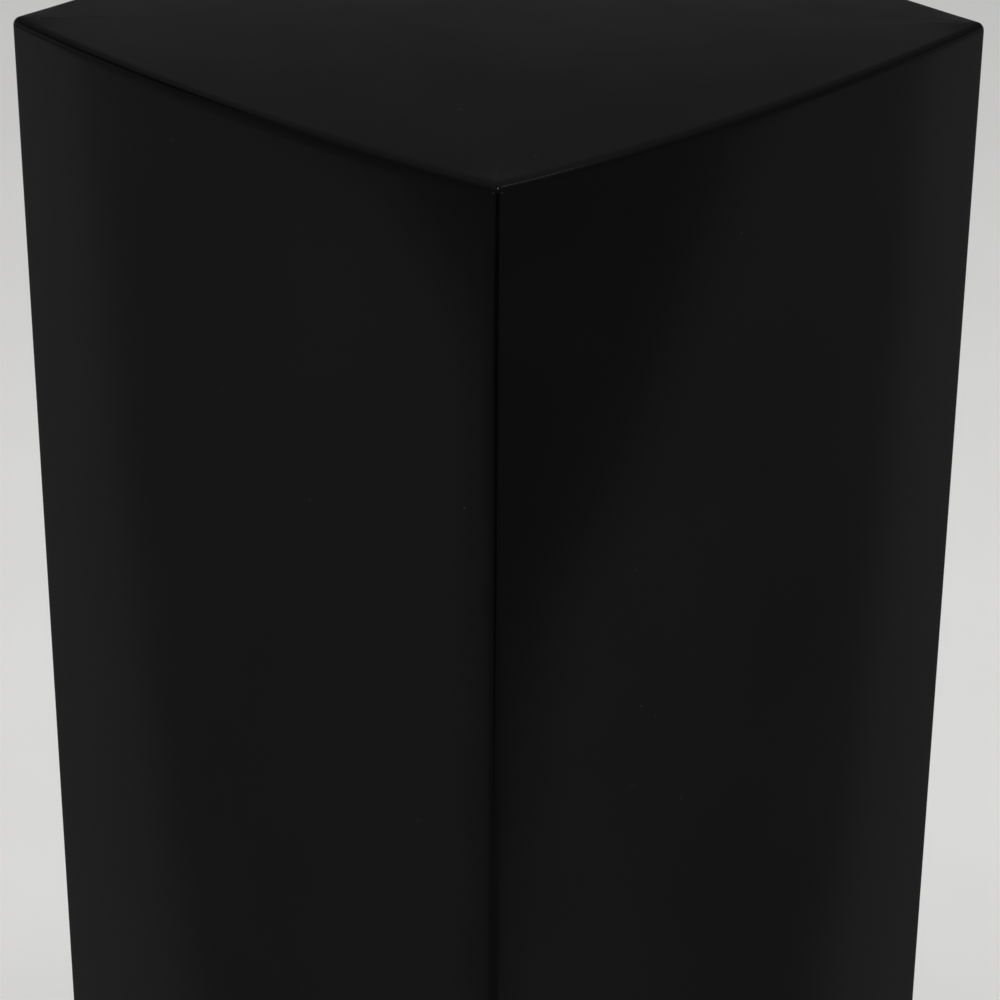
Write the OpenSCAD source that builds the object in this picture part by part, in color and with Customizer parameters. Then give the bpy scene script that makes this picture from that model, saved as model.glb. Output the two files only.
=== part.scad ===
// Display plinth with softly bowed sides on a doweled timber frame and four levelling feet.
// Millimetres, +Z up. The origin is at floor level on the plinth's centre line.

/* [Body] */
// Distance between two neighbouring vertical corners
plinth_w = 400; // [320:5:480]
// How far each side bows out at its middle
side_bow = 13; // [6:1:20]
// Overall height with the feet screwed fully in
plinth_h = 1000; // [700:10:1200]
// Radius of the rounded edges
arris_r = 5; // [3:0.5:6]
// Gap between the floor and the lower edge of the side panels
skirt_gap = 8; // [4:1:12]

/* [Panels] */
// Thickness of the side panels
side_t = 12; // [10:1:15]
// Thickness of the top panel
top_t = 18; // [15:1:25]
// Thickness of the base board
base_t = 18; // [15:1:22]
// Glue line between the frame and the side panels
glue_line = 0.2; // [0.1:0.05:0.3]
// Glue film in the butt joint between a rail's end and a post
butt_gap = 0.05; // [0.03:0.01:0.1]
// Clearance round screws, dowels and loose tongues in their holes
fit_gap = 0.1; // [0.05:0.05:0.15]

/* [Loose tongues] */
// Thickness of the tongue in each mitre
tongue_t = 3; // [2.5:0.5:4]
// Width of the tongue, half of it in each panel
tongue_w = 12; // [9:1:13]
// Distance from the inner corner of the mitre to the middle of the tongue
tongue_in = 5; // [4:0.5:6]
// Length of solid mitre left below the tongue
tongue_stop = 22; // [10:1:40]

/* [Frame] */
// Width of a corner post
post_w = 40; // [38:1:50]
// Thickness of a rail
rail_t = 18; // [15:1:22]
// Diameter of a rail dowel
dowel_d = 6; // [5:0.5:8]
// Length of a rail dowel
dowel_l = 30; // [24:1:32]
// Distance from the inner face of the post to the first dowel
dowel_first = 20; // [20:1:22]
// Distance between the two dowels in a rail's end
dowel_step = 12; // [10:1:12]

/* [Screws] */
// Diameter of a wood screw's shank
screw_d = 4.5; // [3.5:0.5:5]
// Diameter of a wood screw's head
screw_head_d = 9; // [8:0.5:10]
// Diameter of a wood screw's point
screw_tip_d = 1; // [0.5:0.1:1.5]
// Length of a wood screw
screw_l = 30; // [26:1:31]
// Distance from the middle of a rail to each of its screws
screw_offset = 90; // [50:5:110]

/* [Levelling feet] */
// Distance from a foot's axis to the inner face of the posts
foot_inset = 31; // [20:1:60]
// Thread diameter of the stem
stem_d = 10; // [8:1:12]
// Height of the stem's thread above the underside of its insert nut
stem_l = 36; // [34:1:40]
// Width across flats of the stem's hexagon
hex_af = 17; // [15:1:19]
// Height of the stem's hexagon
hex_h = 10.2; // [8:0.1:12]
// Gap between the pad and the hexagon
neck_h = 4; // [3:0.5:6]
// Diameter of the collar that holds the stem in its pad
collar_d = 14; // [13:0.5:16]
// Thickness of that collar
collar_h = 3; // [2:0.5:4]
// Diameter of the pad
pad_d = 44; // [36:1:50]
// Height of the pad
pad_h = 11; // [10:0.5:14]
// Height of the pad's upright rim, below its cone
pad_rim_h = 3; // [2:0.5:4]
// Wall of the pad round the stem's collar, at the top of the cone
pad_wall = 4; // [3:0.5:6]
// Thickness of the pad's floor under the stem
pad_floor = 2; // [1.5:0.5:3]
// Diameter of the rubber disc under the pad
glide_d = 40; // [30:1:44]
// Thickness of that disc
glide_t = 3; // [2:0.5:4]
// Diameter of the insert nut's flange
nut_flange_d = 28; // [22:1:32]
// Thickness of the insert nut's flange
nut_flange_t = 1.5; // [1:0.5:2]
// Outer diameter of the insert nut's barrel
nut_d = 14; // [13:0.5:16]
// Length of the insert nut's barrel
nut_l = 16; // [12:1:17]
// Running clearance of the stem in its nut and pad, on the radius
run_gap = 0.06; // [0.03:0.01:0.1]
// Gap between the hexagon and the nut with the foot screwed fully in
stop_gap = 0.3; // [0.2:0.1:0.5]

/* [Hidden] */

// Finish of each kind of piece
lacquer = [0.04, 0.04, 0.045];
plywood = [0.76, 0.62, 0.43];
softwood = [0.85, 0.72, 0.5];
beech = [0.78, 0.58, 0.38];
zinc = [0.72, 0.73, 0.75];
nylon = [0.12, 0.12, 0.13];
rubber = [0.2, 0.2, 0.2];

// Each side is an arc of radius bow_r about an axis that lies bow_centre behind the plinth's axis
bow_r = (plinth_w * plinth_w / 4 + side_bow * side_bow) / (2 * side_bow);
bow_centre = bow_r - plinth_w / 2 - side_bow;
// Corner of the bowed outline when every side is moved in by inset
function corner_at(inset) = (sqrt(2 * pow(bow_r - inset, 2) - bow_centre * bow_centre) - bow_centre) / 2;

bow_fn = 1440;
round_fn = 64;
hex_fn = 6;
arris_steps = 6;
reach = plinth_w;
cut = 1;
// How many times its bow the corner prism passes outside a side's middle
bows_outside = 3;

// Levels of rails
BOTTOM = 0;
LOWER = 1;
UPPER = 2;
TOP = 3;

// Levels, from the floor up
pad_z = glide_t;
collar_z = pad_z + pad_floor;
hex_z = pad_z + pad_h + neck_h;
nut_z = hex_z + hex_h + stop_gap;
board_z = nut_z + nut_flange_t;
frame_z = board_z + base_t;
top_z = plinth_h - top_t;
rail_pitch = (top_z - rail_t - frame_z) / TOP;

// Places in plan
inner_corner = corner_at(side_t);
frame_corner = corner_at(side_t + glue_line);
post_in = frame_corner - post_w;
rail_end = post_in - butt_gap;
screw_in = post_in + post_w / 2;
foot_at = post_in - foot_inset;
head_h = (screw_head_d - screw_d) / 2;

// Turn from the first side or corner, on the right, to the one that is meant
RIGHT = 0;
REAR = 90;
LEFT = 180;
FRONT = 270;
FRONT_RIGHT = 270;
REAR_RIGHT = 0;
REAR_LEFT = 90;
FRONT_LEFT = 180;

// One side's full disc, moved in by inset
module side_disc(inset, z, h) {
    translate([-bow_centre, 0, z])
        cylinder(r = bow_r - inset, h = h, $fn = bow_fn);
}

// Solid with four bowed sides and sharp corners
module bowed_block(inset, z, h) {
    intersection_for(turn = [0 : 90 : 270])
        rotate(turn)
            side_disc(inset, z, h);
}

// Prism that rounds the vertical corners and passes outside the sides
module corner_rounding(z, h) {
    arc_centre = corner_at(arris_r);
    start = atan2(arc_centre, arc_centre + bow_centre);
    step = (90 - 2 * start) / arris_steps;
    vertex_r = arris_r / cos(step / 2);
    corner = [for (i = [0 : arris_steps])
        [arc_centre + vertex_r * cos(start + i * step), arc_centre + vertex_r * sin(start + i * step)]];
    outside = [0, plinth_w / 2 + bows_outside * side_bow];
    quarter = concat(corner, [outside]);
    points = [for (turn = [0 : 90 : 270], p = quarter)
        [p.x * cos(turn) - p.y * sin(turn), p.x * sin(turn) + p.y * cos(turn)]];
    translate([0, 0, z])
        linear_extrude(h)
            polygon(points);
}

// Disc of one side of the top panel with its upper rim rounded
module rounded_side_disc() {
    rim = [for (i = [0 : arris_steps])
        [bow_r - arris_r + arris_r * cos(90 * i / arris_steps),
         plinth_h - arris_r + arris_r * sin(90 * i / arris_steps)]];
    profile = concat([[0, top_z], [bow_r, top_z]], rim, [[0, plinth_h]]);
    translate([-bow_centre, 0, 0])
        rotate_extrude($fn = bow_fn)
            polygon(profile);
}

// Countersunk wood screw pointing up, with its head's face at z = 0
module wood_screw(gap) {
    cylinder(d1 = screw_head_d + 2 * gap, d2 = screw_d + 2 * gap, h = head_h, $fn = round_fn);
    cylinder(d = screw_d + 2 * gap, h = screw_l - screw_d + gap, $fn = round_fn);
    translate([0, 0, screw_l - screw_d + gap])
        cylinder(d1 = screw_d + 2 * gap, d2 = screw_tip_d, h = screw_d, $fn = round_fn);
}

// Screws through the rails of one level, two to a side
module rail_screw_set(z, gap) {
    for (turn = [0 : 90 : 270], side = [-1, 1])
        rotate(turn)
            translate([screw_in, side * screw_offset, z])
                wood_screw(gap);
}

// Screws through the base board into the ends of the posts
module post_screw_set(gap) {
    for (turn = [0 : 90 : 270])
        rotate(turn)
            translate([screw_in, screw_in, board_z])
                wood_screw(gap);
}

// Dowels in both ends of the right-hand rail whose underside is at z
module dowel_set(z, gap) {
    for (side = [-1, 1], i = [0, 1])
        translate([post_in + dowel_first + i * dowel_step, side * post_in, z + rail_t / 2])
            rotate([90, 0, 0])
                cylinder(d = dowel_d + 2 * gap, h = dowel_l + 2 * gap, center = true, $fn = round_fn);
}

// Loose tongue across the mitre of the rear right corner
module tongue(gap) {
    z = skirt_gap + tongue_stop - gap;
    at = inner_corner + tongue_in * cos(45);
    translate([at, at, z])
        rotate(45)
            translate([-tongue_t / 2 - gap, -tongue_w / 2 - gap, 0])
                cube([tongue_t + 2 * gap, tongue_w + 2 * gap, top_z - z - fit_gap + gap]);
}

// Top panel, which covers the upper edges of the side panels
module top_panel() {
    color(lacquer)
        difference() {
            intersection() {
                intersection_for(turn = [0 : 90 : 270])
                    rotate(turn)
                        rounded_side_disc();
                corner_rounding(top_z - cut, top_t + 2 * cut);
            }
            rail_screw_set(top_z - rail_t, fit_gap);
        }
}

// Bowed side panel, mitred at both ends, with a groove for a tongue in each mitre
module side_panel(turn) {
    panel_h = top_z - skirt_gap;
    color(lacquer)
        rotate(turn)
            difference() {
                intersection() {
                    side_disc(0, skirt_gap, panel_h);
                    corner_rounding(skirt_gap - cut, panel_h + 2 * cut);
                    translate([0, 0, skirt_gap - cut])
                        linear_extrude(panel_h + 2 * cut)
                            polygon([[0, 0], [reach, -reach], [reach, reach]]);
                }
                side_disc(side_t, skirt_gap - cut, panel_h + 2 * cut);
                for (mitre = [0, -90])
                    rotate(mitre)
                        tongue(fit_gap);
            }
}

// Loose tongue that joins two side panels
module mitre_tongue(turn) {
    color(beech)
        rotate(turn)
            tongue(0);
}

// Corner post, planed on its two outer faces to fit the bowed panels
module corner_post(turn) {
    color(softwood)
        rotate(turn)
            difference() {
                intersection() {
                    bowed_block(side_t + glue_line, frame_z, top_z - frame_z);
                    translate([post_in, post_in, frame_z - cut])
                        cube([2 * post_w, 2 * post_w, top_z - frame_z + 2 * cut]);
                }
                for (level = [BOTTOM : TOP]) {
                    dowel_set(frame_z + level * rail_pitch, fit_gap);
                    rotate(90)
                        dowel_set(frame_z + level * rail_pitch, fit_gap);
                }
                post_screw_set(fit_gap);
            }
}

// Rail between two posts, with its outer edge sawn to the bow of the panel
module rail(turn, level) {
    z = frame_z + level * rail_pitch;
    color(plywood)
        rotate(turn)
            difference() {
                intersection() {
                    side_disc(side_t + glue_line, z, rail_t);
                    translate([post_in, -rail_end, z - cut])
                        cube([2 * post_w, 2 * rail_end, rail_t + 2 * cut]);
                }
                dowel_set(z, fit_gap);
                if (level == BOTTOM)
                    rail_screw_set(board_z, fit_gap);
                if (level == TOP)
                    rail_screw_set(z, fit_gap);
            }
}

// Dowels of every rail
module rail_dowels() {
    color(beech)
        for (turn = [0 : 90 : 270], level = [BOTTOM : TOP])
            rotate(turn)
                dowel_set(frame_z + level * rail_pitch, 0);
}

// Board under the frame, which carries the posts, the bottom rails and the feet
module base_board() {
    color(plywood)
        difference() {
            bowed_block(side_t + glue_line, board_z, base_t);
            rail_screw_set(board_z, fit_gap);
            post_screw_set(fit_gap);
            for (turn = [0 : 90 : 270])
                rotate(turn)
                    translate([foot_at, foot_at, board_z - cut])
                        cylinder(d = nut_d + 2 * fit_gap, h = base_t + 2 * cut, $fn = round_fn);
        }
}

// Screws that hold the top panel down on the top rails
module top_screws() {
    color(zinc)
        rail_screw_set(top_z - rail_t, 0);
}

// Screws that hold the base board up to the bottom rails and the posts
module base_screws() {
    color(zinc) {
        rail_screw_set(board_z, 0);
        post_screw_set(0);
    }
}

// Flanged nuts let into the base board from below, one for each foot
module insert_nuts() {
    color(zinc)
        for (turn = [0 : 90 : 270])
            rotate(turn)
                translate([foot_at, foot_at, nut_z])
                    difference() {
                        union() {
                            cylinder(d = nut_flange_d, h = nut_flange_t, $fn = round_fn);
                            cylinder(d = nut_d, h = nut_flange_t + nut_l, $fn = round_fn);
                        }
                        translate([0, 0, -cut])
                            cylinder(r = stem_d / 2 + run_gap, h = nut_flange_t + nut_l + 2 * cut, $fn = round_fn);
                    }
}

// Threaded stem with a hexagon for the spanner and a collar that turns in the pad
module foot_stem(turn) {
    color(zinc)
        rotate(turn)
            translate([foot_at, foot_at, 0]) {
                translate([0, 0, collar_z])
                    cylinder(d = collar_d, h = collar_h, $fn = round_fn);
                translate([0, 0, collar_z])
                    cylinder(d = stem_d, h = nut_z + stem_l - collar_z, $fn = round_fn);
                translate([0, 0, hex_z])
                    cylinder(d = hex_af / cos(180 / hex_fn), h = hex_h, $fn = hex_fn);
            }
}

// Moulded pad with a stepped socket for the stem's collar
module foot_pad(turn) {
    shoulder_d = collar_d + 2 * pad_wall;
    color(nylon)
        rotate(turn)
            translate([foot_at, foot_at, pad_z])
                difference() {
                    union() {
                        cylinder(d = pad_d, h = pad_rim_h, $fn = round_fn);
                        translate([0, 0, pad_rim_h])
                            cylinder(d1 = pad_d, d2 = shoulder_d, h = pad_h - pad_rim_h, $fn = round_fn);
                    }
                    translate([0, 0, pad_floor])
                        cylinder(r = collar_d / 2 + run_gap, h = collar_h + fit_gap, $fn = round_fn);
                    translate([0, 0, pad_floor])
                        cylinder(r = stem_d / 2 + run_gap, h = pad_h, $fn = round_fn);
                }
}

// Rubber disc under the pad
module foot_glide(turn) {
    color(rubber)
        rotate(turn)
            translate([foot_at, foot_at, 0])
                cylinder(d = glide_d, h = glide_t, $fn = round_fn);
}

top_panel();
side_panel(FRONT);  // front_panel
side_panel(RIGHT);  // right_panel
side_panel(REAR);  // rear_panel
side_panel(LEFT);  // left_panel
mitre_tongue(FRONT_RIGHT);  // mitre_tongue_front_right
mitre_tongue(REAR_RIGHT);  // mitre_tongue_rear_right
mitre_tongue(REAR_LEFT);  // mitre_tongue_rear_left
mitre_tongue(FRONT_LEFT);  // mitre_tongue_front_left
corner_post(FRONT_RIGHT);  // corner_post_front_right
corner_post(REAR_RIGHT);  // corner_post_rear_right
corner_post(REAR_LEFT);  // corner_post_rear_left
corner_post(FRONT_LEFT);  // corner_post_front_left
rail(FRONT, TOP);  // top_rail_front
rail(RIGHT, TOP);  // top_rail_right
rail(REAR, TOP);  // top_rail_rear
rail(LEFT, TOP);  // top_rail_left
rail(FRONT, UPPER);  // upper_rail_front
rail(RIGHT, UPPER);  // upper_rail_right
rail(REAR, UPPER);  // upper_rail_rear
rail(LEFT, UPPER);  // upper_rail_left
rail(FRONT, LOWER);  // lower_rail_front
rail(RIGHT, LOWER);  // lower_rail_right
rail(REAR, LOWER);  // lower_rail_rear
rail(LEFT, LOWER);  // lower_rail_left
rail(FRONT, BOTTOM);  // bottom_rail_front
rail(RIGHT, BOTTOM);  // bottom_rail_right
rail(REAR, BOTTOM);  // bottom_rail_rear
rail(LEFT, BOTTOM);  // bottom_rail_left
base_board();
rail_dowels();
top_screws();
base_screws();
insert_nuts();
foot_stem(FRONT_RIGHT);  // foot_stem_front_right
foot_stem(REAR_RIGHT);  // foot_stem_rear_right
foot_stem(REAR_LEFT);  // foot_stem_rear_left
foot_stem(FRONT_LEFT);  // foot_stem_front_left
foot_pad(FRONT_RIGHT);  // foot_pad_front_right
foot_pad(REAR_RIGHT);  // foot_pad_rear_right
foot_pad(REAR_LEFT);  // foot_pad_rear_left
foot_pad(FRONT_LEFT);  // foot_pad_front_left
foot_glide(FRONT_RIGHT);  // foot_glide_front_right
foot_glide(REAR_RIGHT);  // foot_glide_rear_right
foot_glide(REAR_LEFT);  // foot_glide_rear_left
foot_glide(FRONT_LEFT);  // foot_glide_front_left
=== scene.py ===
import math

import bmesh
import bpy
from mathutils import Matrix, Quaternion, Vector


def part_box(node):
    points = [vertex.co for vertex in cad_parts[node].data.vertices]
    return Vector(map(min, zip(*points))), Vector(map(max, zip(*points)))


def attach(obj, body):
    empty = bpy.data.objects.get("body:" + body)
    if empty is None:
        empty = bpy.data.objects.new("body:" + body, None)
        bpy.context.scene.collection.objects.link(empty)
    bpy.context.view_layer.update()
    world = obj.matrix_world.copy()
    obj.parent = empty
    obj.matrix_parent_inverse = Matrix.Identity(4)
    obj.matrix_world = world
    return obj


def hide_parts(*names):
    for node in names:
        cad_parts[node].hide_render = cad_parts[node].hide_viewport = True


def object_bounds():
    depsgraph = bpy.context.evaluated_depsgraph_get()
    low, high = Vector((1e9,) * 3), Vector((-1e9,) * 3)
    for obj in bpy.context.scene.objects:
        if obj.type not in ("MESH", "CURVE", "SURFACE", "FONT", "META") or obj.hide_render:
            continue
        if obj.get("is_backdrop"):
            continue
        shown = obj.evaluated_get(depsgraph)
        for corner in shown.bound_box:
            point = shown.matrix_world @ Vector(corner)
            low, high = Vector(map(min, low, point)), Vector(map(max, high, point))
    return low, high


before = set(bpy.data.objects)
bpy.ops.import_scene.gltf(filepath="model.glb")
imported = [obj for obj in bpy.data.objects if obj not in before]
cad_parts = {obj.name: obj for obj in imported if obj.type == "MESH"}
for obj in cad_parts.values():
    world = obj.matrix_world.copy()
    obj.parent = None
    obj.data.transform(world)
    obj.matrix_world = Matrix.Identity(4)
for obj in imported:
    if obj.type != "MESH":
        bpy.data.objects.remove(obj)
cad_low, cad_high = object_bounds()

MM = 0.001

# ---------------------------------------------------------------- sizes, from the frame
HALF_WIDTH = cad_high.x
SIDE_BOW = 13 * MM
CORNER = HALF_WIDTH - SIDE_BOW
ARRIS_R = 5 * MM
TOP_Z = cad_high.z
TOP_UNDER_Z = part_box("top_panel")[0].z
SKIRT_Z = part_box("right_panel")[0].z
SIDE_T = 12 * MM
TONGUE_T = 3 * MM
TONGUE_W = 12 * MM
FIT_GAP = 0.1 * MM
SKIRT_BEVEL = 1.2 * MM
BOW_R = (CORNER ** 2 + SIDE_BOW ** 2) / (2 * SIDE_BOW)
BOW_CENTRE = BOW_R - CORNER - SIDE_BOW
SIDES = {"right": 0, "rear": 90, "left": 180, "front": 270}
CORNERS = {"rear_right": 0, "rear_left": 90, "front_left": 180, "front_right": 270}
SCREW_OFFSET = 90 * MM
# How far the lacquer stands up at the top's corners, and how far from a corner that reaches
CORNER_RISE = 0.35 * MM
CORNER_REACH = 15 * MM
# The hardware is drawn in millimetres
SCREW_D = 4.5
SCREW_HEAD_D = 9
SCREW_L = 30
STEM_D = 10
STEM_PITCH = 1.5
NUT_LOW, NUT_FLANGE, NUT_HIGH = 28.5, 30.0, 46.0
# Fineness of the meshes
SIDE_STEPS = 72
ARC_STEPS = 10
ROLL_STEPS = 12
PANEL_LEVELS = 24
SMOOTH_ANGLE = math.radians(30)
MERGE_DISTANCE = 1e-7


# ---------------------------------------------------------------- mesh tools
def corner_at(inset):
    """Where two neighbouring sides meet, on the diagonal, when both are moved in by inset."""
    return (math.sqrt(2 * (BOW_R - inset) ** 2 - BOW_CENTRE ** 2) - BOW_CENTRE) / 2


def quarter(inset):
    """Points of the right side's outline, from the middle of one rounded corner to the next."""
    smallest = 0.02 * MM
    radius = max(ARRIS_R - inset, smallest)
    arc_centre = corner_at(inset + radius)
    start = math.atan2(arc_centre, arc_centre + BOW_CENTRE)
    points = []
    for i in range(SIDE_STEPS + 1):
        angle = start * (2 * i / SIDE_STEPS - 1)
        ray = Vector((math.cos(angle), math.sin(angle)))
        points.append((BOW_R - inset) * ray - Vector((BOW_CENTRE, 0)))
    upper = []
    for i in range(1, ARC_STEPS + 1):
        angle = start + (math.pi / 4 - start) * i / ARC_STEPS
        x = arc_centre + radius * math.cos(angle)
        y = arc_centre + radius * math.sin(angle)
        upper.append(Vector((x, y)))
    lower = [Vector((p.x, -p.y)) for p in reversed(upper)]
    return lower + points + upper


def turned(point, degrees):
    """A point turned about the plinth's axis."""
    a = math.radians(degrees)
    x, y = point[0], point[1]
    rest = tuple(point[2:])
    return (x * math.cos(a) - y * math.sin(a), x * math.sin(a) + y * math.cos(a)) + rest


def make_object(name, vertices, faces, material):
    """A mesh object from plain lists, its faces turned outwards and shaded smooth between sharp edges."""
    mesh = bpy.data.meshes.new(name)
    mesh.from_pydata([tuple(v) for v in vertices], [], faces)
    shape = bmesh.new()
    shape.from_mesh(mesh)
    bmesh.ops.remove_doubles(shape, verts=shape.verts, dist=MERGE_DISTANCE)
    bmesh.ops.recalc_face_normals(shape, faces=shape.faces)
    mark_edges(shape)
    shape.to_mesh(mesh)
    shape.free()
    piece = bpy.data.objects.new(name, mesh)
    bpy.context.scene.collection.objects.link(piece)
    mesh.materials.append(material)
    return piece


def grid_faces(rows, columns, closed_rows=False, closed_columns=False, first=0):
    """Quads of a grid of vertices stored row by row."""
    faces = []
    for i in range(rows if closed_rows else rows - 1):
        for j in range(columns if closed_columns else columns - 1):
            a = first + i * columns + j
            b = first + i * columns + (j + 1) % columns
            c = first + ((i + 1) % rows) * columns + (j + 1) % columns
            d = first + ((i + 1) % rows) * columns + j
            faces.append((a, b, c, d))
    return faces


def ring_solid(rings, steps=48, hollow=False):
    """Vertices and faces of a solid about the Z axis, made of rings.

    A ring is (radius, z), and its radius may be a function of the angle. The first and the last ring are
    closed by a flat face, or joined to each other where the solid is hollow.
    """
    vertices = []
    for radius, z in rings:
        for j in range(steps):
            angle = 2 * math.pi * j / steps
            r = radius(angle) if callable(radius) else radius
            vertices.append((r * math.cos(angle), r * math.sin(angle), z))
    faces = grid_faces(len(rings), steps, closed_rows=hollow, closed_columns=True)
    if not hollow:
        faces.append(tuple(reversed(range(steps))))
        faces.append(tuple((len(rings) - 1) * steps + j for j in range(steps)))
    return vertices, faces


def copies(solid, places):
    """One list of vertices and faces with the solid at every place. A place is a function of a point."""
    vertices, faces = [], []
    for at in places:
        first = len(vertices)
        vertices += [at(v) for v in solid[0]]
        faces += [tuple(first + i for i in face) for face in solid[1]]
    return vertices, faces


def millimetres(rings):
    """Rings given in millimetres, in metres."""

    def scaled_radius(radius):
        if callable(radius):
            return lambda angle: radius(angle) * MM
        return radius * MM

    return [(scaled_radius(radius), z * MM) for radius, z in rings]


def mark_edges(shape):
    """Shades a bmesh smooth, with sharp edges where its faces meet at more than SMOOTH_ANGLE."""
    for edge in shape.edges:
        edge.smooth = not (edge.is_manifold and edge.calc_face_angle(0) > SMOOTH_ANGLE)
    for face in shape.faces:
        face.smooth = True


def cut(piece, vertices, faces):
    """Takes a closed shape away from a piece, and marks its edges again."""
    cutter = make_object("cutter", vertices, faces, piece.data.materials[0])
    modifier = piece.modifiers.new("cut", "BOOLEAN")
    modifier.operation = "DIFFERENCE"
    modifier.solver = "EXACT"
    modifier.object = cutter
    evaluated = piece.evaluated_get(bpy.context.evaluated_depsgraph_get())
    result = bpy.data.meshes.new_from_object(evaluated)
    piece.modifiers.remove(modifier)
    shape = bmesh.new()
    shape.from_mesh(result)
    mark_edges(shape)
    shape.to_mesh(result)
    shape.free()
    piece.data = result
    bpy.data.objects.remove(cutter)


# ---------------------------------------------------------------- material tools
class Nodes:
    """Builds one material's node tree with short calls."""

    def __init__(self, name):
        self.material = bpy.data.materials.new(name)
        self.material.use_nodes = True
        self.tree = self.material.node_tree
        self.shader = self.tree.nodes["Principled BSDF"]
        coords = self.tree.nodes.new("ShaderNodeTexCoord")
        self.coords = coords.outputs["Object"]

    def plug(self, value, socket):
        """Links a socket to another one, or sets its value."""
        if isinstance(value, bpy.types.NodeSocket):
            self.tree.links.new(value, socket)
        else:
            socket.default_value = value

    def scaled(self, x, y, z, turn=(0, 0, 0)):
        """Object coordinates scaled on each axis, in features per metre."""
        node = self.tree.nodes.new("ShaderNodeMapping")
        node.inputs["Scale"].default_value = (x, y, z)
        node.inputs["Rotation"].default_value = turn
        self.plug(self.coords, node.inputs["Vector"])
        return node.outputs["Vector"]

    def noise(self, vector, scale=1.0, detail=2.0, roughness=0.5, distortion=0.0):
        node = self.tree.nodes.new("ShaderNodeTexNoise")
        self.plug(vector, node.inputs["Vector"])
        node.inputs["Scale"].default_value = scale
        node.inputs["Detail"].default_value = detail
        node.inputs["Roughness"].default_value = roughness
        node.inputs["Distortion"].default_value = distortion
        return node.outputs["Fac"]

    def cells(self, vector, scale=1.0):
        """Distance to the nearest cell's point, and that cell's random colour."""
        node = self.tree.nodes.new("ShaderNodeTexVoronoi")
        self.plug(vector, node.inputs["Vector"])
        node.inputs["Scale"].default_value = scale
        return node.outputs["Distance"], node.outputs["Color"]

    def math(self, operation, a, b=0.0, clamp=False):
        node = self.tree.nodes.new("ShaderNodeMath")
        node.operation = operation
        node.use_clamp = clamp
        for value, socket in zip((a, b), node.inputs):
            self.plug(value, socket)
        return node.outputs[0]

    def ramp(self, value, low, high, to_low=0.0, to_high=1.0):
        """Maps low..high smoothly to to_low..to_high."""
        node = self.tree.nodes.new("ShaderNodeMapRange")
        node.interpolation_type = "SMOOTHSTEP"
        for socket, given in zip(("Value", "From Min", "From Max", "To Min", "To Max"),
                                 (value, low, high, to_low, to_high)):
            self.plug(given, node.inputs[socket])
        return node.outputs["Result"]

    def mix(self, factor, first, second):
        """Blends two colours. The node's colour sockets share their names, so they go by number."""
        node = self.tree.nodes.new("ShaderNodeMix")
        node.data_type = "RGBA"
        self.plug(factor, node.inputs["Factor"])
        self.plug(first, node.inputs[6])
        self.plug(second, node.inputs[7])
        return node.outputs[2]

    def red(self, colour):
        node = self.tree.nodes.new("ShaderNodeSeparateColor")
        self.plug(colour, node.inputs["Color"])
        return node.outputs["Red"]

    def axis(self, vector, name):
        node = self.tree.nodes.new("ShaderNodeSeparateXYZ")
        self.plug(vector, node.inputs["Vector"])
        return node.outputs[name]

    def normal_axis(self, name):
        """One part of the surface's own direction, without regard to sign."""
        node = self.tree.nodes.new("ShaderNodeNewGeometry")
        return self.math("ABSOLUTE", self.axis(node.outputs["Normal"], name))

    def bump(self, height, strength, distance, under=None):
        node = self.tree.nodes.new("ShaderNodeBump")
        node.inputs["Strength"].default_value = strength
        node.inputs["Distance"].default_value = distance
        self.plug(height, node.inputs["Height"])
        if under is not None:
            self.plug(under, node.inputs["Normal"])
        return node.outputs["Normal"]

    def finish(self, colour, roughness, normal=None, metallic=0.0, specular=0.5):
        self.plug(colour, self.shader.inputs["Base Color"])
        self.plug(roughness, self.shader.inputs["Roughness"])
        if normal is not None:
            self.plug(normal, self.shader.inputs["Normal"])
        self.shader.inputs["Metallic"].default_value = metallic
        self.shader.inputs["Specular IOR Level"].default_value = specular
        return self.material


# ---------------------------------------------------------------- materials
def black_lacquer():
    """Near-black lacquer: faint orange peel, slow waves, fine rubbing marks and a few specks of dust."""
    n = Nodes("black_lacquer")
    peel = n.noise(n.scaled(1, 1, 1), scale=420, detail=1.5)
    waves = n.noise(n.scaled(1, 1, 0.6), scale=16, detail=2.0)
    patches = n.noise(n.scaled(1, 1, 1), scale=9, detail=3.0, roughness=0.6)
    rubbing = n.noise(n.scaled(900, 900, 14), scale=1, detail=2.0)
    distance, cell = n.cells(n.scaled(1, 1, 1), scale=60)
    small = n.ramp(distance, 0.014, 0.03, 1.0, 0.0)
    rare = n.math("GREATER_THAN", n.red(cell), 0.55)
    dust = n.math("MULTIPLY", small, rare)
    lint = n.ramp(n.noise(n.scaled(1, 1, 1), scale=1500, detail=1.0), 0.74, 0.8)
    specks = n.math("MAXIMUM", dust, n.math("MULTIPLY", lint, 0.05))
    deep = (0.0016, 0.0016, 0.0017, 1)
    thin = (0.0024, 0.0024, 0.0025, 1)
    film = n.mix(n.ramp(patches, 0.35, 0.75), deep, thin)
    grey_dust = (0.075, 0.074, 0.07, 1)
    colour = n.mix(specks, film, grey_dust)
    polish = n.ramp(patches, 0.3, 0.8, 0.1, 0.13)
    rough = n.math("ADD", polish, n.ramp(rubbing, 0.45, 0.8, 0.0, 0.02))
    rough = n.math("ADD", rough, n.math("MULTIPLY", specks, 0.5), clamp=True)
    normal = n.bump(peel, 0.10, 0.05 * MM)
    normal = n.bump(waves, 0.11, 0.6 * MM, normal)
    return n.finish(colour, rough, normal)


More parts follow.
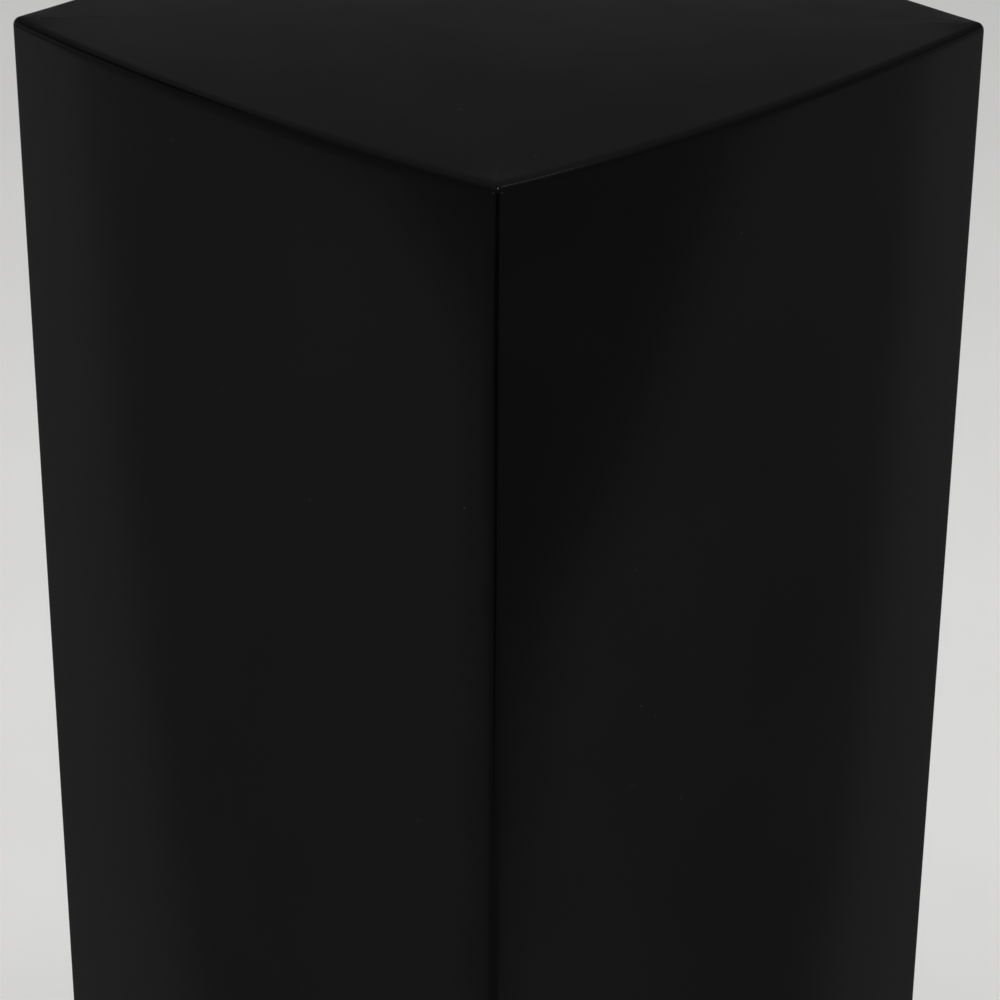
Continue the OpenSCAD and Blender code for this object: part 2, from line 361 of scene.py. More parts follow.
def plywood(grain_turn=0):
    """Birch plywood: pale rotary-cut faces and banded edges."""
    n = Nodes(f"plywood_{grain_turn}")
    turn = (0, 0, math.radians(grain_turn))
    two_veneers = 3.0 * MM
    dark_wood, pale_wood, pore_brown = (0.56, 0.4, 0.235, 1), (0.68, 0.52, 0.33, 1), (0.42, 0.28, 0.15, 1)
    long_grain, end_grain, end_pores = (0.6, 0.43, 0.25, 1), (0.3, 0.18, 0.09, 1), (0.24, 0.14, 0.07, 1)
    glue_brown = (0.1, 0.05, 0.025, 1)
    figure = n.noise(n.scaled(14, 160, 14, turn), scale=1, detail=4.0, distortion=0.6)
    pores = n.noise(n.scaled(90, 2600, 90, turn), scale=1, detail=2.0)
    face = n.mix(n.ramp(figure, 0.35, 0.7), dark_wood, pale_wood)
    face = n.mix(n.ramp(pores, 0.55, 0.75, 0.0, 0.4), face, pore_brown)
    layer = n.math("FRACT", n.math("MULTIPLY", n.axis(n.coords, "Z"), 1 / two_veneers))
    cross = n.math("GREATER_THAN", layer, 0.5)
    ends = n.noise(n.scaled(700, 700, 900), scale=1, detail=3.0)
    edge = n.mix(cross, long_grain, end_grain)
    edge = n.mix(n.ramp(ends, 0.4, 0.7, 0.0, 0.5), edge, end_pores)
    glue = n.ramp(n.math("ABSOLUTE", n.math("SUBTRACT", layer, 0.5)), 0.0, 0.05, 0.7, 0.0)
    edge = n.mix(glue, edge, glue_brown)
    colour = n.mix(n.ramp(n.normal_axis("Z"), 0.5, 0.8), edge, face)
    height = n.math("ADD", n.math("MULTIPLY", pores, 0.6), n.math("MULTIPLY", ends, 0.4))
    rough = n.ramp(figure, 0.2, 0.8, 0.55, 0.7)
    return n.finish(colour, rough, n.bump(height, 0.35, 0.15 * MM), specular=0.4)


def pine():
    """Planed pine with its grain along the post."""
    n = Nodes("pine")
    warp = n.noise(n.scaled(7, 7, 1.2), scale=1, detail=2.0)
    rings = n.tree.nodes.new("ShaderNodeTexWave")
    rings.bands_direction = "X"
    n.plug(n.scaled(1, 0.7, 0.02, (0, 0, math.radians(28))), rings.inputs["Vector"])
    rings.inputs["Scale"].default_value = 42
    rings.inputs["Distortion"].default_value = 2.4
    rings.inputs["Detail"].default_value = 2
    rings.inputs["Detail Scale"].default_value = 0.7
    fibre = n.noise(n.scaled(1400, 1400, 24), scale=1, detail=3.0)
    early_wood, late_wood = (0.72, 0.53, 0.31, 1), (0.5, 0.29, 0.13, 1)
    colour = n.mix(n.ramp(rings.outputs["Fac"], 0.35, 0.95), early_wood, late_wood)
    colour = n.mix(n.ramp(warp, 0.3, 0.8, 0.0, 0.35), colour, (0.64, 0.42, 0.22, 1))
    colour = n.mix(n.ramp(fibre, 0.5, 0.8, 0.0, 0.35), colour, (0.4, 0.24, 0.12, 1))
    rough = n.ramp(fibre, 0.2, 0.8, 0.48, 0.66)
    return n.finish(colour, rough, n.bump(fibre, 0.3, 0.12 * MM), specular=0.4)


def beech():
    """Raw beech with short dark flecks."""
    n = Nodes("beech")
    flecks = n.noise(n.scaled(900, 900, 110), scale=1, detail=2.0)
    tone = n.noise(n.scaled(30, 30, 8), scale=1, detail=2.0)
    colour = n.mix(n.ramp(tone, 0.3, 0.7), (0.58, 0.39, 0.24, 1), (0.66, 0.47, 0.3, 1))
    colour = n.mix(n.ramp(flecks, 0.58, 0.7, 0.0, 0.7), colour, (0.33, 0.18, 0.09, 1))
    rough = n.ramp(tone, 0.2, 0.8, 0.5, 0.62)
    return n.finish(colour, rough, n.bump(flecks, 0.25, 0.1 * MM), specular=0.4)


def zinc():
    """Bright zinc plate with a faint warm bloom and rolling marks."""
    n = Nodes("zinc")
    bloom = n.noise(n.scaled(1, 1, 1), scale=260, detail=4.0, roughness=0.65)
    marks = n.noise(n.scaled(2200, 2200, 300), scale=1, detail=2.0)
    colour = n.mix(n.ramp(bloom, 0.35, 0.7), (0.66, 0.68, 0.71, 1), (0.62, 0.58, 0.5, 1))
    rough = n.math("ADD", n.ramp(bloom, 0.3, 0.75, 0.24, 0.42), n.ramp(marks, 0.4, 0.8, 0.0, 0.1))
    return n.finish(colour, rough, n.bump(marks, 0.2, 0.04 * MM), metallic=1.0)


def nylon():
    """Black moulded nylon with a fine spark texture."""
    n = Nodes("nylon")
    grain = n.noise(n.scaled(1, 1, 1), scale=2600, detail=2.0)
    tone = n.noise(n.scaled(1, 1, 1), scale=90, detail=3.0)
    colour = n.mix(n.ramp(tone, 0.3, 0.75), (0.012, 0.012, 0.013, 1), (0.022, 0.022, 0.023, 1))
    rough = n.ramp(grain, 0.3, 0.7, 0.42, 0.58)
    return n.finish(colour, rough, n.bump(grain, 0.5, 0.08 * MM), specular=0.45)


def rubber():
    """Grey rubber, a little dusty."""
    n = Nodes("rubber")
    grain = n.noise(n.scaled(1, 1, 1), scale=1800, detail=3.0)
    dust = n.noise(n.scaled(1, 1, 1), scale=160, detail=5.0, roughness=0.7)
    colour = n.mix(n.ramp(dust, 0.5, 0.8, 0.0, 0.6), (0.045, 0.045, 0.047, 1), (0.17, 0.16, 0.15, 1))
    rough = n.ramp(grain, 0.3, 0.7, 0.7, 0.86)
    return n.finish(colour, rough, n.bump(grain, 0.4, 0.1 * MM), specular=0.35)


def studio_floor():
    """Pale seamless floor with a slight mottle."""
    n = Nodes("studio_floor")
    mottle = n.noise(n.scaled(1, 1, 1), scale=3, detail=3.0, roughness=0.5)
    grain = n.noise(n.scaled(1, 1, 1), scale=900, detail=2.0)
    colour = n.mix(n.ramp(mottle, 0.3, 0.75), (0.712, 0.708, 0.7, 1), (0.73, 0.726, 0.718, 1))
    rough = n.ramp(grain, 0.3, 0.7, 0.75, 0.85)
    return n.finish(colour, rough, n.bump(grain, 0.2, 0.1 * MM), specular=0.02)


# ---------------------------------------------------------------- the lacquered shell
def tongue_grooves(turn):
    """The grooves for the loose tongues in both mitres of one side panel."""
    low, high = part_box("mitre_tongue_rear_right")
    half_wide = TONGUE_W / 2 + FIT_GAP
    half_thick = TONGUE_T / 2 + FIT_GAP
    middle = (low.x + high.x) / 2
    bottom = low.z - FIT_GAP
    past_the_top = TOP_UNDER_Z + 1 * MM
    vertices, faces = [], []
    for corner_turn in (0, -90):
        first = len(vertices)
        for z in (bottom, past_the_top):
            for wide, thick in ((-1, -1), (1, -1), (1, 1), (-1, 1)):
                a, b = wide * half_wide, thick * half_thick
                x = middle + (b - a) * math.sqrt(0.5)
                y = middle + (b + a) * math.sqrt(0.5)
                vertices.append(turned((x, y, z), turn + corner_turn))
        for face in ((3, 2, 1, 0), (4, 5, 6, 7), (0, 1, 5, 4), (1, 2, 6, 5), (2, 3, 7, 6), (3, 0, 4, 7)):
            faces.append(tuple(first + i for i in face))
    return vertices, faces


def side_panel(side, turn, material):
    """One bowed panel: a closed profile of (inset, z) carried along a quarter of the outline."""
    edge = SKIRT_BEVEL
    rounding = 0.3
    profile = [(edge, SKIRT_Z), (edge * rounding, SKIRT_Z + edge * rounding), (0, SKIRT_Z + edge)]
    top = TOP_UNDER_Z
    for i in range(1, PANEL_LEVELS + 1):
        profile.append((0, SKIRT_Z + edge + (top - SKIRT_Z - edge) * i / PANEL_LEVELS))
    profile += [(SIDE_T, top), (SIDE_T, SKIRT_Z)]
    rings = [quarter(inset) for inset, _ in profile]
    vertices = []
    for ring, (_, z) in zip(rings, profile):
        vertices += [turned((p.x, p.y, z), turn) for p in ring]
    columns = len(rings[0])
    faces = grid_faces(len(profile), columns, closed_rows=True)
    faces.append(tuple(i * columns for i in range(len(profile))))
    faces.append(tuple(i * columns + columns - 1 for i in reversed(range(len(profile)))))
    piece = make_object(f"{side}_panel_lacquered", vertices, faces, material)
    cut(piece, *tongue_grooves(turn))
    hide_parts(f"{side}_panel")
    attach(piece, "plinth")


def field_drop(point, z):
    """How far the top lies below its corners, where the lacquer dried a hair thicker."""
    corner = corner_at(ARRIS_R)
    distance = math.hypot(abs(point.x) - corner, abs(point.y) - corner)
    share = (z - TOP_UNDER_Z) / (TOP_Z - TOP_UNDER_Z)
    return CORNER_RISE * share * (1 - math.exp(-((distance / CORNER_REACH) ** 2)))


def top_panel(material):
    """The top: a rolled edge all round that closes to a flat field."""
    underside_inset = 60
    wall_levels = 3
    field_insets = (6, 7.5, 9, 11, 13, 16, 20, 25, 32, 42, 60, 90, 130, 170)
    profile = [(underside_inset * MM, TOP_UNDER_Z), (0, TOP_UNDER_Z)]
    for i in range(1, wall_levels + 1):
        profile.append((0, TOP_UNDER_Z + (TOP_Z - ARRIS_R - TOP_UNDER_Z) * i / wall_levels))
    for i in range(1, ROLL_STEPS + 1):
        a = math.pi / 2 * i / ROLL_STEPS
        profile.append((ARRIS_R * (1 - math.cos(a)), TOP_Z - ARRIS_R + ARRIS_R * math.sin(a)))
    profile += [(inset * MM, TOP_Z) for inset in field_insets]
    vertices = []
    for inset, z in profile:
        for turn in SIDES.values():
            for p in quarter(inset)[:-1]:
                vertices.append(turned((p.x, p.y, z - field_drop(p, z)), turn))
    columns = len(vertices) // len(profile)
    faces = grid_faces(len(profile), columns, closed_columns=True)
    faces.append(tuple(reversed(range(columns))))
    faces.append(tuple((len(profile) - 1) * columns + j for j in range(columns)))
    piece = make_object("top_panel_lacquered", vertices, faces, material)
    cut(piece, *copies(screw_hole(), rail_screw_places(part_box("top_screws")[0].z)))
    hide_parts("top_panel")
    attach(piece, "plinth")


# ---------------------------------------------------------------- screws, feet, nuts and dowels
def polygon_radius(angle, across_flats, sides, turn):
    """Radius of a regular polygon that has a corner at turn."""
    step = 2 * math.pi / sides
    off = (angle - turn) % step - step / 2
    return across_flats / 2 / math.cos(off)


def cross_radius(angle, reach, half_width):
    """Radius of a cross with four arms."""
    tiny = 1e-9
    c, s = max(abs(math.cos(angle)), tiny), max(abs(math.sin(angle)), tiny)
    return max(min(reach / c, half_width / s), min(reach / s, half_width / c))


def thread_radius(angle, z, pitch, crest, depth):
    """Radius of a right-handed thread: flat on its crest and in its root."""
    crest_flat, flank_share = 0.12, 0.68
    phase = (z / pitch - angle / (2 * math.pi)) % 1.0
    flank = abs(2 * phase - 1)
    return crest - depth * min(1.0, max(0.0, (flank - crest_flat) / flank_share))


def screw_hole():
    """The room a wood screw takes, with its clearance, pointing up from z = 0."""
    gap, tip_r = 0.1, 0.5
    head_h = (SCREW_HEAD_D - SCREW_D) / 2
    shank = SCREW_D / 2 + gap
    rings = [(SCREW_HEAD_D / 2 + gap, 0), (shank, head_h)]
    rings += [(shank, SCREW_L - SCREW_D + gap), (tip_r, SCREW_L + gap)]
    return ring_solid(millimetres(rings), 32)


def wood_screw():
    """Countersunk wood screw with a cross recess, pointing up, with its head's face at z = 0."""
    crest = SCREW_D / 2
    head = SCREW_HEAD_D / 2
    head_h = head - crest
    pitch, root = 2.0, 1.45
    recess_reach, recess_half, recess_deep = 1.87, 0.5, 2.0
    rings = [(lambda angle: cross_radius(angle, 0.85, 0.228), recess_deep)]
    rings.append((lambda angle: cross_radius(angle, recess_reach, recess_half), 0.05))
    rings.append((lambda angle: 1.04 * cross_radius(angle, recess_reach, recess_half), 0.0))
    rings += [(head - 0.25, 0.0), (head - 0.03, 0.1), (head - 0.03, 0.25), (crest - 0.1, head_h + 0.1)]
    rings += [(crest - 0.12, 7.6), (root + 0.3, 8.0)]
    steps_a_turn = 8
    least = 0.25
    first, last = 8.2, SCREW_L - 0.3
    count = round((last - first) * steps_a_turn / pitch)
    for i in range(count + 1):
        z = first + (last - first) * i / count
        taper = min(1.0, (SCREW_L - z) / SCREW_D)
        deep = (crest - root) * min(1.0, 1.4 * taper)

        def radius(angle, z=z, taper=taper, deep=deep):
            return max(least, thread_radius(angle, z, pitch, crest * taper, deep))

        rings.append((radius, z))
    rings.append((0.1, SCREW_L - 0.02))
    return ring_solid(millimetres(rings), 24)


def standing_at(x, y, z, turn=0.0, spin=0.0):
    """A place: spun about the solid's own axis, moved to x, y, z, then turned about the plinth's axis."""

    def at(v):
        spun = turned(v, spin)
        return turned((spun[0] + x, spun[1] + y, spun[2] + z), turn)

    return at


def rail_screw_places(z):
    """Two screws to a side, each with its recess at another angle."""
    screw_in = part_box("top_screws")[1].x - SCREW_HEAD_D / 2 * MM
    places = []
    for turn in SIDES.values():
        for side in (-1, 1):
            places.append(standing_at(screw_in, side * SCREW_OFFSET, z, turn, spin=37 * len(places)))
    return places


def post_screw_places(z):
    """One screw into the end of each corner post."""
    screw_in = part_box("top_screws")[1].x - SCREW_HEAD_D / 2 * MM
    return [standing_at(screw_in, screw_in, z, turn, spin=turn + 21) for turn in SIDES.values()]


def hardware(name, solid, material, body, slot, node):
    """One detailed piece in place of a CAD node."""
    piece = make_object(name, *solid, material)
    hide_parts(node)
    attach(piece, body)


def stem_solid(turn):
    """Threaded stem: collar, neck, chamfered hexagon, relief and thread, at its height above the floor."""
    depth = 0.92
    hex_low, hex_high, tip = 18.0, 28.2, 64.5
    across_flats = 16.98
    corner_turn = math.radians(turn)
    washer_r = 8.2
    chamfer = math.tan(math.radians(30))
    chamfer_deep = 1.0
    steps = 8

    def hexagon(z):
        edge = min(z - hex_low, hex_high - z)
        return lambda angle: min(polygon_radius(angle, across_flats, 6, corner_turn), washer_r + edge / chamfer)

    rings = [(6.6, 5.0), (7.0, 5.4), (7.0, 7.6), (6.6, 8.0)]
    rings += [(5.0, 8.01), (4.9, 8.4), (4.9, 17.5), (5.1, 17.9), (7.6, 17.99)]
    for i in range(steps + 1):
        z = hex_low + chamfer_deep * i / steps
        rings.append((hexagon(z), z))
    for i in range(steps + 1):
        z = hex_high - chamfer_deep + chamfer_deep * i / steps
        rings.append((hexagon(z), z))
    rings += [(4.6, hex_high + 0.01), (4.15, hex_high + 0.3), (4.15, hex_high + 1.2)]
    first = hex_high + 1.4
    count = round((tip - first) * steps / STEM_PITCH)
    for i in range(count + 1):
        z = first + (tip - first) * i / count
        bevel = 3.95 + (tip - z) * 1.2

        def radius(angle, z=z, bevel=bevel):
            return min(thread_radius(angle, z, STEM_PITCH, STEM_D / 2, depth), bevel)

        rings.append((radius, z))
    return ring_solid(millimetres(rings), 48)


def pad_solid():
    """Moulded pad: rounded rim, hollowed and fluted shoulder, lip, and the socket for the collar."""
    rings = [(20.9, 3.0), (21.6, 3.1), (21.95, 3.5), (22.0, 4.0), (22.0, 5.2), (21.85, 5.7), (21.4, 6.1)]
    steps = 14
    flutes, flute_deep = 12, 0.5
    for i in range(1, steps + 1):
        t = i / steps
        r = 21.2 - 10.0 * t
        z = 6.1 + 7.2 * t ** 1.55
        flute = flute_deep * math.sin(math.pi * t)

        def radius(angle, r=r, flute=flute):
            return r - flute * (0.5 + 0.5 * math.cos(flutes * angle)) ** 2

        rings.append((radius, z))
    rings += [(11.0, 13.7), (10.6, 13.95), (10.0, 14.0)]
    rings += [(6.0, 14.0), (5.3, 13.8), (5.1, 13.3), (5.1, 8.12), (7.06, 8.1), (7.06, 5.0)]
    return ring_solid(millimetres(rings), 96)


def glide_solid():
    """Rubber disc with a chamfered edge and two round grooves underneath."""
    rings = [(8.0, 0.0), (8.2, 0.5), (8.6, 0.7), (9.0, 0.7), (9.4, 0.5), (9.6, 0.0)]
    rings += [(14.0, 0.0), (14.2, 0.5), (14.6, 0.7), (15.0, 0.7), (15.4, 0.5), (15.6, 0.0)]
    rings += [(19.3, 0.0), (19.8, 0.2), (20.0, 0.7), (20.0, 2.6), (19.8, 2.95), (19.5, 3.0)]
    return ring_solid(millimetres(rings), 96)


def nut_solid():
    """Flanged insert nut: knurled barrel and a threaded bore, at its height above the floor."""
    bore, barrel_r, flange_r = 5.06, 7.0, 14.0
    knurls, knurl_deep = 24, 0.25
    thread_deep, steps_a_turn = 0.45, 8
    low, high = NUT_LOW, NUT_HIGH
    rings = [(5.6, low), (13.5, low), (13.9, low + 0.2), (flange_r, low + 0.6)]
    rings += [(13.9, NUT_FLANGE - 0.15), (13.6, NUT_FLANGE), (barrel_r, NUT_FLANGE)]

    def barrel(angle):
        return barrel_r - knurl_deep * (0.5 + 0.5 * math.cos(knurls * angle))

    rings += [(barrel, 30.4), (barrel, 45.3), (6.6, high), (5.6, high)]
    count = round((high - low) * steps_a_turn / STEM_PITCH)
    for i in range(count + 1):
        z = high - (high - low) * i / count
        fade = min(1.0, (high - z) / STEM_PITCH, (z - low) / STEM_PITCH)

        def radius(angle, z=z, fade=fade):
            groove = STEM_D / 2 - thread_radius(angle, z, STEM_PITCH, STEM_D / 2, 1.0)
            return bore + thread_deep * fade * groove

        rings.append((radius, min(high - 0.02, max(low + 0.02, z))))
    return ring_solid(millimetres(rings), 96, hollow=True)


def dowel_solid():
    """Fluted dowel with chamfered ends, along the Y axis."""
    radius, half = 3.0, 15.0
    steps, steps_a_flute, flute_deep = 24, 3, 0.3
    end_r, chamfer = 2.2, 1.0

    def fluted(angle):
        step = round(angle * steps / (2 * math.pi))
        return radius - (flute_deep if step % steps_a_flute == 0 else 0.0)

    rings = [(end_r, -half), (fluted, chamfer - half), (fluted, half - chamfer), (end_r, half)]
    vertices, faces = ring_solid(millimetres(rings), steps)
    return [(x, z, -y) for x, y, z in vertices], faces


def rail_dowels():
    """Two dowels in each end of every rail."""
    post_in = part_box("corner_post_rear_right")[0].x
    dowel_first, dowel_step = 20 * MM, 12 * MM
    places = []
    for level in ("bottom", "lower", "upper", "top"):
        low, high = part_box(f"{level}_rail_right")
        for turn in SIDES.values():
            for side in (-1, 1):
                for x in (post_in + dowel_first, post_in + dowel_first + dowel_step):
                    places.append(standing_at(x, side * post_in, (low.z + high.z) / 2, turn))
    return copies(dowel_solid(), places)


# ---------------------------------------------------------------- finishes of the CAD pieces that stay
def dress(prefix, material):
    """Gives every CAD piece whose name starts with prefix a material."""
    for name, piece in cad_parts.items():
        if name.startswith(prefix):
            for slot in piece.material_slots:
                slot.material = material


lacquer = black_lacquer()
for side, turn in SIDES.items():
    side_panel(side, turn, lacquer)
top_panel(lacquer)

ply = {0: plywood(0), 90: plywood(90)}
wood_beech = beech()
metal = zinc()
for level in ("top", "upper", "lower", "bottom"):
    for side, grain in (("front", 0), ("rear", 0), ("right", 90), ("left", 90)):
        dress(f"{level}_rail_{side}", ply[grain])
dress("base_board", ply[0])
dress("corner_post", pine())
dress("mitre_tongue", wood_beech)

screw = wood_screw()
top_screws = copies(screw, rail_screw_places(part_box("top_screws")[0].z))
hardware("top_screws_threaded", top_screws, metal, "plinth", "zinc_plated_steel", "top_screws")
base_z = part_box("base_screws")[0].z
base_screws = copies(screw, rail_screw_places(base_z) + post_screw_places(base_z))
hardware("base_screws_threaded", base_screws, metal, "plinth", "zinc_plated_steel", "base_screws")
hardware("rail_dowels_fluted", rail_dowels(), wood_beech, "plinth", "beech", "rail_dowels")

pad_nylon = nylon()
glide_rubber = rubber()
feet = []
for corner, turn in CORNERS.items():
    low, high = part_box(f"foot_stem_{corner}")
    foot = standing_at((low.x + high.x) / 2, (low.y + high.y) / 2, 0)
    feet.append(foot)
    stem = copies(stem_solid(turn), [foot])
    pad = copies(pad_solid(), [foot])
    glide = copies(glide_solid(), [foot])
    for node, finish, solid, material, body, slot in (
        (f"foot_stem_{corner}", "threaded", stem, metal, f"stem_{corner}", "zinc_plated_steel"),
        (f"foot_pad_{corner}", "moulded", pad, pad_nylon, f"foot_{corner}", "black_nylon"),
        (f"foot_glide_{corner}", "moulded", glide, glide_rubber, f"foot_{corner}", "grey_rubber"),
    ):
        hardware(f"{node}_{finish}", solid, material, body, slot, node)
nuts = copies(nut_solid(), feet)
hardware("insert_nuts_knurled", nuts, metal, "plinth", "zinc_plated_steel", "insert_nuts")

# ---------------------------------------------------------------- floor, light and camera
CAMERA_TURN = math.radians(45)
TOWARDS_CAMERA = Vector((math.sin(CAMERA_TURN), -math.cos(CAMERA_TURN), 0))
RIGHTWARDS = Vector((math.cos(CAMERA_TURN), math.sin(CAMERA_TURN), 0))


def place(towards, right, up=0.0):
    """A point given in metres towards the camera, to its right and up, from the plinth's foot."""
    return TOWARDS_CAMERA * towards + RIGHTWARDS * right + Vector((0, 0, up))


def floor(half=45.0):
    """The pale floor. The gloss doesn't see it: the reflection floor below stands for it there."""
    corners = [(-half, -half, 0), (half, -half, 0), (half, half, 0), (-half, half, 0)]
    piece = make_object("studio_floor", corners, [(0, 1, 2, 3)], studio_floor())
    piece.visible_glossy = False
    piece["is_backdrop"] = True


def smooth(low, high, value):
    """0 below low, 1 above high, and smooth between them."""
    t = min(1.0, max(0.0, (value - low) / (high - low)))
    return t * t * (3 - 2 * t)


def along(points, value):
    """Straight lines through (position, height) points, level beyond both ends."""
    for (x0, y0), (x1, y1) in zip(points, points[1:]):
        if value <= x1:
            return y0 + (y1 - y0) * max(0.0, (value - x0) / (x1 - x0))
    return points[-1][1]


# Dim area in front of the plinth: how far it reaches back, for each distance to the right or left
DIM_RIGHT = (
    (0.0, 0.44), (0.8, 0.49), (1.1, 0.52), (1.45, 0.53), (2.0, 0.36), (2.5, 0.22), (3.1, 0.0), (9.0, -2.0),
)
DIM_LEFT = (
    (0.0, 0.28), (1.0, 0.53), (2.1, 0.8), (2.4, 0.74), (2.8, 0.6), (3.05, 0.2), (3.6, -1.0), (9.0, -5.0),
)
DIM_LEVEL = 0.06
# Brighter where the sides reflect less, for each bearing off the camera's direction
GRAZING = (
    (0, 1.5), (75, 1.52), (83, 1.4), (91, 1.24), (98, 1.04), (104, 0.92), (110, 0.85), (180, 0.85),
)
# Black area towards the camera: its two edges, in degrees off that direction, for each distance
BLACK_LEFT = ((1.05, 14), (1.27, 18), (1.73, 21), (2.0, 26), (2.15, 39), (2.4, 39), (2.6, 19), (9.0, 19))
BLACK_RIGHT = ((1.05, -6), (1.27, 4), (1.5, 13), (1.73, 13), (2.0, 14), (2.3, 19), (2.6, 22), (9.0, 22))
BLACK_SHARE = 0.98
# Low soft strips of light, one to each side of the plinth: their bearings off the camera's direction,
# and how many degrees off that bearing they end and reach their full brightness
STRIPS = (-128, -52, 52, 128)
STRIP_LEVEL = 0.45
STRIP_OUTER, STRIP_INNER = 12, 2


def floor_glow(towards, right):
    """Brightness of the reflection floor at a point."""
    lit_level, rear_edge, dim_area = (0.107, 0.28, DIM_LEFT) if right < 0 else (0.1, 0.22, DIM_RIGHT)
    reach = abs(right)
    out = towards - CORNER * math.sqrt(2)
    distance = math.hypot(out, right)
    bearing = math.degrees(math.atan2(right, out))
    lit = lit_level * min(1.0, 0.7 + 0.1 * math.hypot(towards, right))
    lit *= along(GRAZING, abs(bearing))
    rear_edge -= 0.35 * reach
    lit *= 1 + 0.5 * smooth(0.06, -0.06, towards - rear_edge)
    soft = 0.05 + 0.035 * reach
    glow = lit + (DIM_LEVEL - lit) * smooth(-soft, soft, towards - along(dim_area, reach))
    black = smooth(1.0, 1.15, distance)
    black *= smooth(-2.5, 2.5, bearing + along(BLACK_LEFT, distance))
    black *= smooth(-2.5, 2.5, along(BLACK_RIGHT, distance) - bearing)
    off_strip = min(abs(bearing - strip) for strip in STRIPS)
    strip = smooth(STRIP_OUTER, STRIP_INNER, off_strip) * smooth(3.2, 7.0, distance)
    return glow * (1 - BLACK_SHARE * black) + STRIP_LEVEL * strip


def reflection_floor():
    """A dim floor that only the gloss sees: lighter behind the plinth, dark towards the camera."""
    rings, spokes = 110, 300
    first, last = 0.12, 40.0
    below = -2 * MM
    vertices = []
    for i in range(rings):
        distance = first * (last / first) ** (i / (rings - 1))
        for j in range(spokes):
            bearing = 2 * math.pi * j / spokes
            vertices.append(place(distance * math.cos(bearing), distance * math.sin(bearing), below))
    faces = grid_faces(rings, spokes, closed_columns=True)
    material = bpy.data.materials.new("reflection_floor")
    material.use_nodes = True
    tree = material.node_tree
    tree.nodes.clear()
    level = tree.nodes.new("ShaderNodeAttribute")
    level.attribute_name = "glow"
    emission = tree.nodes.new("ShaderNodeEmission")
    output = tree.nodes.new("ShaderNodeOutputMaterial")
    tree.links.new(level.outputs["Fac"], emission.inputs["Strength"])
    tree.links.new(emission.outputs[0], output.inputs[0])
    piece = make_object("reflection_floor", vertices, faces, material)
    glow = piece.data.attributes.new("glow", "FLOAT", "POINT")
    for vertex, value in zip(piece.data.vertices, glow.data):
        value.value = floor_glow(vertex.co.dot(TOWARDS_CAMERA), vertex.co.dot(RIGHTWARDS))
    piece.visible_camera = False
    piece.visible_diffuse = False
    piece.visible_shadow = False
    piece.visible_transmission = False
    piece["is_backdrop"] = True


def softbox(name, position, target, width, power):
    """A square softbox that the gloss doesn't see."""
    data = bpy.data.lights.new(name, "AREA")
    data.shape = "RECTANGLE"
    data.size = width
    data.size_y = width
    data.energy = power
    lamp = bpy.data.objects.new(name, data)
    lamp.location = position
    lamp.rotation_euler = (target - position).to_track_quat("-Z", "Y").to_euler()
    lamp.visible_glossy = False
    bpy.context.scene.collection.objects.link(lamp)


def direction(bearing, elevation):
    """A direction in degrees to the right of the camera and above the horizon."""
    b, e = math.radians(bearing), math.radians(elevation)
    flat = TOWARDS_CAMERA * math.cos(b) + RIGHTWARDS * math.sin(b)
    return flat * math.cos(e) + Vector((0, 0, math.sin(e)))


# Brightness of the surroundings against the sine of the height, behind the plinth and by the camera
BEHIND = (
    (0.0, 0.132), (0.26, 0.134), (0.275, 0.113), (0.286, 0.078), (0.298, 0.051), (0.335, 0.056),
    (0.44, 0.058), (0.56, 0.066), (0.62, 0.078), (0.7, 0.1), (0.78, 0.125), (1.0, 0.13),
)
BY_CAMERA = ((0.0, 0.06), (0.4, 0.061), (0.53, 0.07), (0.62, 0.115), (1.0, 0.13))
BACKDROP = ((0.0, 0.55), (0.12, 0.62), (0.5, 0.74), (1.0, 0.78))
EVEN_LIGHT = 0.78
# Round areas in what the gloss sees: bearing, elevation, outer and inner radius in degrees, brightness.
# A black screen, a dim lamp for the right top edge, a bright one for the corner, and the low strips.
AREAS = ((-109, 30, 11, 5, 0.002), (99, 49, 5, 2.5, 0.75), (5, 58, 9, 6, 3.6))
AREAS += tuple((bearing, 3, STRIP_OUTER, STRIP_INNER, STRIP_LEVEL) for bearing in STRIPS)


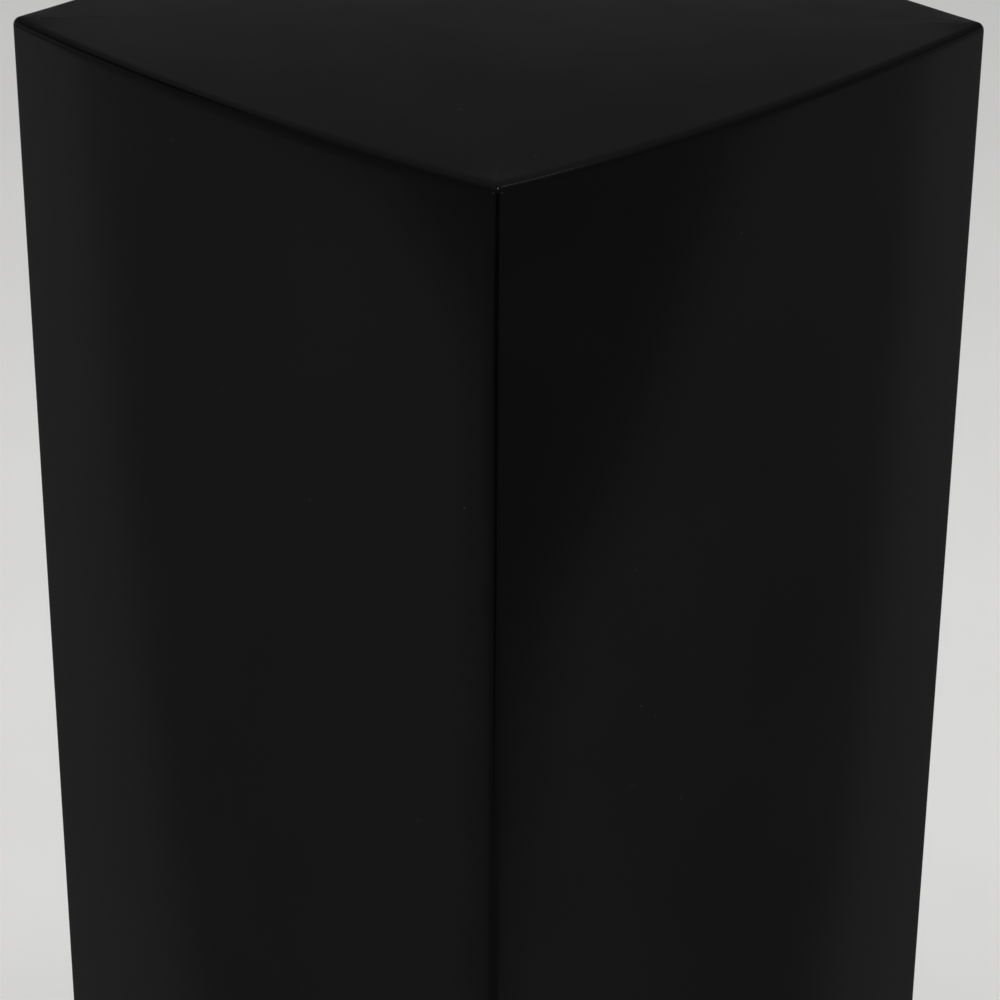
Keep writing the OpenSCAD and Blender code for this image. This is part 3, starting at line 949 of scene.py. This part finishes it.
def surroundings():
    """The world. The camera sees a pale backdrop, matt surfaces an even light, the gloss a dim room."""
    world = bpy.data.worlds.new("studio")
    bpy.context.scene.world = world
    world.use_nodes = True
    tree = world.node_tree
    tree.nodes.clear()
    link = tree.links.new

    def add(kind, **settings):
        node = tree.nodes.new(kind)
        for name, value in settings.items():
            setattr(node, name, value)
        return node

    def towards(vector):
        node = add("ShaderNodeVectorMath", operation="DOT_PRODUCT")
        link(coords.outputs["Generated"], node.inputs[0])
        node.inputs[1].default_value = vector
        return node.outputs["Value"]

    def rising(value, low, high):
        node = add("ShaderNodeMapRange", interpolation_type="SMOOTHSTEP")
        link(value, node.inputs["Value"])
        node.inputs["From Min"].default_value = low
        node.inputs["From Max"].default_value = high
        return node.outputs["Result"]

    def curve(value, steps):
        node = add("ShaderNodeValToRGB")
        ramp = node.color_ramp.elements
        while len(ramp) < len(steps):
            ramp.new(0.5)
        for element, (position, level) in zip(ramp, steps):
            element.position = position
            element.color = (level, level, level, 1)
        link(value, node.inputs[0])
        return node.outputs["Color"]

    def blend(factor, first, second):
        node = add("ShaderNodeMix", data_type="FLOAT")
        for value, socket in zip((factor, first, second), (node.inputs[0], node.inputs[2], node.inputs[3])):
            if isinstance(value, bpy.types.NodeSocket):
                link(value, socket)
            else:
                socket.default_value = value
        return node.outputs[0]

    coords = add("ShaderNodeTexCoord")
    up = towards(Vector((0, 0, 1)))
    front = rising(towards(TOWARDS_CAMERA), -0.35, -0.1)
    gloss = blend(front, curve(up, BEHIND), curve(up, BY_CAMERA))
    for bearing, elevation, outer, inner, level in AREAS:
        off_axis = towards(direction(bearing, elevation))
        area = rising(off_axis, math.cos(math.radians(outer)), math.cos(math.radians(inner)))
        gloss = blend(area, gloss, level)
    rays = add("ShaderNodeLightPath")
    seen = blend(rays.outputs["Is Glossy Ray"], EVEN_LIGHT, gloss)
    seen = blend(rays.outputs["Is Camera Ray"], seen, curve(up, BACKDROP))
    background = add("ShaderNodeBackground")
    link(seen, background.inputs["Strength"])
    output = add("ShaderNodeOutputWorld")
    link(background.outputs[0], output.inputs[0])


def camera():
    """Looks down on the front right corner with a long lens, leaning by a third of a degree."""
    elevation = math.radians(19.95)
    distance = 1.6
    lean = math.radians(0.362)
    aim_right, aim_below = 0.0021, 0.1735
    corner = Vector((CORNER, -CORNER, TOP_Z))
    position = corner + TOWARDS_CAMERA * distance * math.cos(elevation)
    position.z += distance * math.sin(elevation)
    aim = corner + RIGHTWARDS * aim_right
    aim.z -= aim_below
    data = bpy.data.cameras.new("camera")
    data.lens = 114.8
    data.sensor_width = 36
    eye = bpy.data.objects.new("camera", data)
    eye.location = position
    eye.rotation_mode = "QUATERNION"
    eye.rotation_quaternion = (aim - position).to_track_quat("-Z", "Y") @ Quaternion((0, 0, 1), lean)
    bpy.context.scene.collection.objects.link(eye)
    bpy.context.scene.camera = eye


floor()
reflection_floor()
surroundings()
softbox("overhead", place(-0.4, 0, 3.2), place(-0.2, 0), 2.6, 42)
softbox("fill_left", place(1.2, -3.0, 2.4), place(0, 0, 0.4), 1.6, 9)
softbox("fill_right", place(1.2, 3.0, 2.4), place(0, 0, 0.4), 1.6, 9)
camera()
bpy.context.scene.view_settings.view_transform = "Standard"

low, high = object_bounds()
